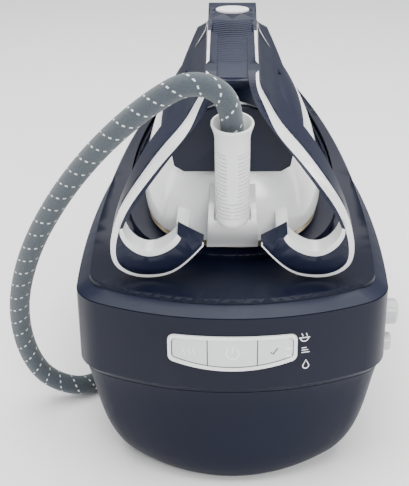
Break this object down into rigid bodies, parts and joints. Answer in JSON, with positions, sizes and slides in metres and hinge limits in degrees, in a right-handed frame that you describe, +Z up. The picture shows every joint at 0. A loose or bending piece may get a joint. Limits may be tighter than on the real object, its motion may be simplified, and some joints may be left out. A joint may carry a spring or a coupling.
{
  "type": "steam generator iron",
  "caption": "Steam generator iron: a navy base with boiler, pump and rear water tank, and a white and navy iron on its sloping rest, joined by a woven steam hose.",
  "frame": {"origin": "middle of the footprint, on the surface that the base stands on", "axes": "+Z up, the control panel faces -Y, +X to the right of a person facing the panel"},
  "size_m": [0.3155, 0.6052, 0.3301],
  "materials": {
    "navy_casing": "satin navy moulded casing",
    "navy_speckle": "navy with a fine pearl speckle",
    "navy_grip": "soft-touch ribbed grip",
    "white_gloss": "polished white",
    "white_satin": "satin white",
    "key_white": "satin white keys",
    "sole_bronze": "bronze-tinted glide coating",
    "cast_grey": "cast",
    "boiler_steel": "drawn steel",
    "heater_steel": "sheathed heater",
    "screw_steel": "zinc plated",
    "inner_black": "heat-proof black",
    "inner_grey": "plain moulded",
    "board_green": "circuit board",
    "pad_silicone": "silicone",
    "foot_rubber": "rubber",
    "seal_silicone": "silicone seal",
    "cap_grey": "translucent grey",
    "tank_clear": "tinted translucent tank",
    "brass": "plain",
    "hose_textile": "woven sleeve with white flecks",
    "lens_white": "light guide"
  },
  "bodies": {
    "base": {"lower_tub": "navy_casing", "band_casing": "navy_casing", "collar_ring": "navy_speckle", "top_cover": "navy_casing", "rest_tray": "navy_casing", "rest_pads": "pad_silicone", "rubber_feet": "foot_rubber", "panel_bezel": "white_gloss", "panel_board": "board_green", "key_switches": "inner_black", "boiler_shell": "boiler_steel", "boiler_heater": "heater_steel", "inner_mounts": "inner_black", "thermostat": "inner_black", "steam_valve": "brass", "pump": "inner_grey", "power_board": "board_green", "water_tubes": "seal_silicone", "tank_well": "navy_casing", "hose_gland": "inner_black", "inlet_gland": "inner_black", "housing_screws": "screw_steel", "hose_run": "hose_textile", "hose_coil": "hose_textile", "hose_tail": "hose_textile"},
    "key_left": {"key_left": "key_white"},
    "key_power": {"key_power": "key_white"},
    "key_right": {"key_right": "key_white", "indicator_lenses": "lens_white"},
    "scale_collector": {"scale_cap": "cap_grey", "scale_rod": "brass", "scale_seal": "seal_silicone"},
    "drain_plug": {"drain_plug": "cap_grey"},
    "tank": {"water_tank": "tank_clear", "flap_pin": "screw_steel", "tank_valve": "inner_grey"},
    "filler_flap": {"filler_flap": "navy_casing"},
    "iron": {"soleplate": "sole_bronze", "steam_chamber": "cast_grey", "heater_element": "heater_steel", "chamber_lid": "boiler_steel", "heat_shield": "inner_black", "skirt": "white_gloss", "body_cover": "navy_speckle", "rear_cover": "navy_speckle", "handle_shell": "navy_speckle", "grip_insert": "navy_grip", "front_cap": "navy_speckle", "handle_switches": "inner_black", "trigger_pin": "screw_steel", "trim_left": "white_gloss", "trim_right": "white_gloss", "lining_left": "white_gloss", "lining_right": "white_gloss", "heel_block": "white_gloss", "anti_kink_sleeve": "white_satin", "steam_inlet": "brass", "iron_screws": "screw_steel"},
    "top_button": {"top_button": "white_satin"},
    "steam_trigger": {"steam_trigger": "inner_grey"}
  },
  "joints": [
    {"name": "iron_lift", "type": "slide", "parent": "base", "child": "iron", "axis": [0, -0.2419, 0.9703], "range_m": [0, 0.11], "deforming": ["hose_run"]},
    {"name": "key_left_press", "type": "slide", "parent": "base", "child": "key_left", "axis": [0, 1, 0], "range_m": [0, 0.001], "stiffness_N_per_m": 900, "springref_m": -0.0004},
    {"name": "key_power_press", "type": "slide", "parent": "base", "child": "key_power", "axis": [0, 1, 0], "range_m": [0, 0.001], "stiffness_N_per_m": 900, "springref_m": -0.0004},
    {"name": "key_right_press", "type": "slide", "parent": "base", "child": "key_right", "axis": [0, 1, 0], "range_m": [0, 0.001], "stiffness_N_per_m": 900, "springref_m": -0.0004},
    {"name": "collector_draw", "type": "slide", "parent": "base", "child": "scale_collector", "axis": [1, 0, 0], "range_m": [0, 0.085]},
    {"name": "drain_plug_draw", "type": "slide", "parent": "base", "child": "drain_plug", "axis": [1, 0, 0], "range_m": [0, 0.04]},
    {"name": "tank_draw", "type": "slide", "parent": "base", "child": "tank", "axis": [0, 1, 0], "range_m": [0, 0.11]},
    {"name": "filler_flap_hinge", "type": "hinge", "parent": "tank", "child": "filler_flap", "pos_m": [0, 0.1938, 0.1166], "axis": [-1, 0, 0], "range_deg": [0, 85]},
    {"name": "top_button_press", "type": "slide", "parent": "iron", "child": "top_button", "axis": [0, 0.2419, -0.9703], "range_m": [0, 0.0015], "stiffness_N_per_m": 900, "springref_m": -0.0004},
    {"name": "steam_trigger_pull", "type": "hinge", "parent": "iron", "child": "steam_trigger", "pos_m": [0, -0.02776, 0.29609], "axis": [-1, 0, 0], "range_deg": [0, 5], "stiffness_Nm_per_rad": 1.5, "springref_deg": -5.73}
  ]
}
